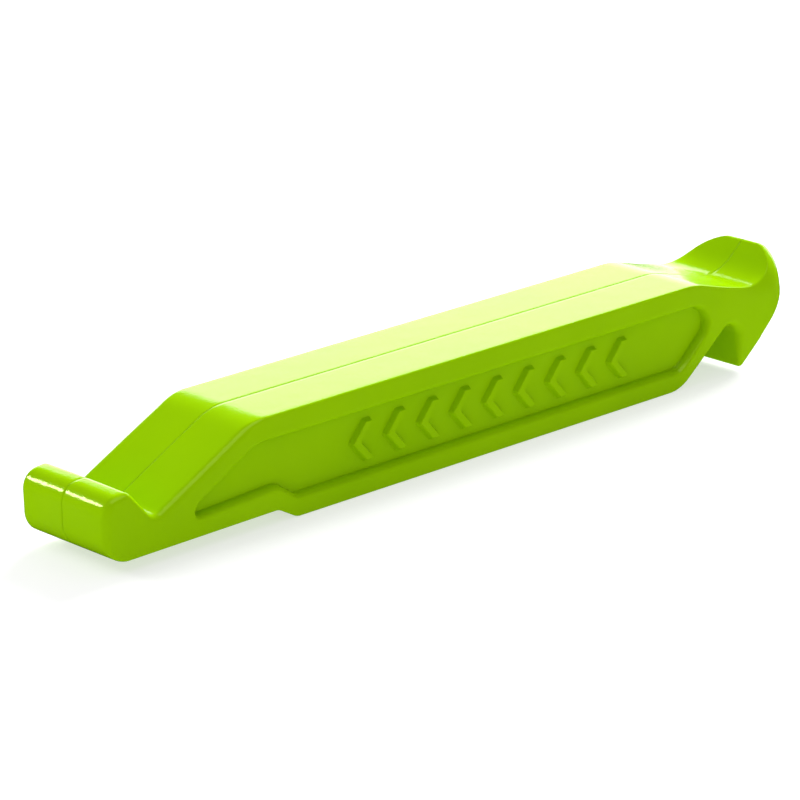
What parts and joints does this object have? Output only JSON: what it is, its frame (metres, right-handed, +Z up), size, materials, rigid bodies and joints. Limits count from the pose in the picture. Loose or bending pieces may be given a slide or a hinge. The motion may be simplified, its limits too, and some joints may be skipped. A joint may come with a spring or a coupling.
{
  "type": "tyre lever",
  "caption": "Moulded plastic tyre lever with a bead hook and ramp at one end, a thumb scoop and an arched rim notch at the other, and a sunken panel with raised chevrons on each side.",
  "frame": {"origin": "middle of the bounding box's bottom, on the face that the lever rests on", "axes": "+X runs along the lever from the bead hook to the rim end, +Y is across it, +Z is up out of the flat top. The middle plane Y = 0 is where the two halves meet"},
  "size_m": [0.1274, 0.0176, 0.0159],
  "materials": {
    "lime_plastic": "glossy lime green injection moulded plastic"
  },
  "bodies": {
    "root": {"left_half": "lime_plastic", "right_half": "lime_plastic"}
  },
  "joints": []
}
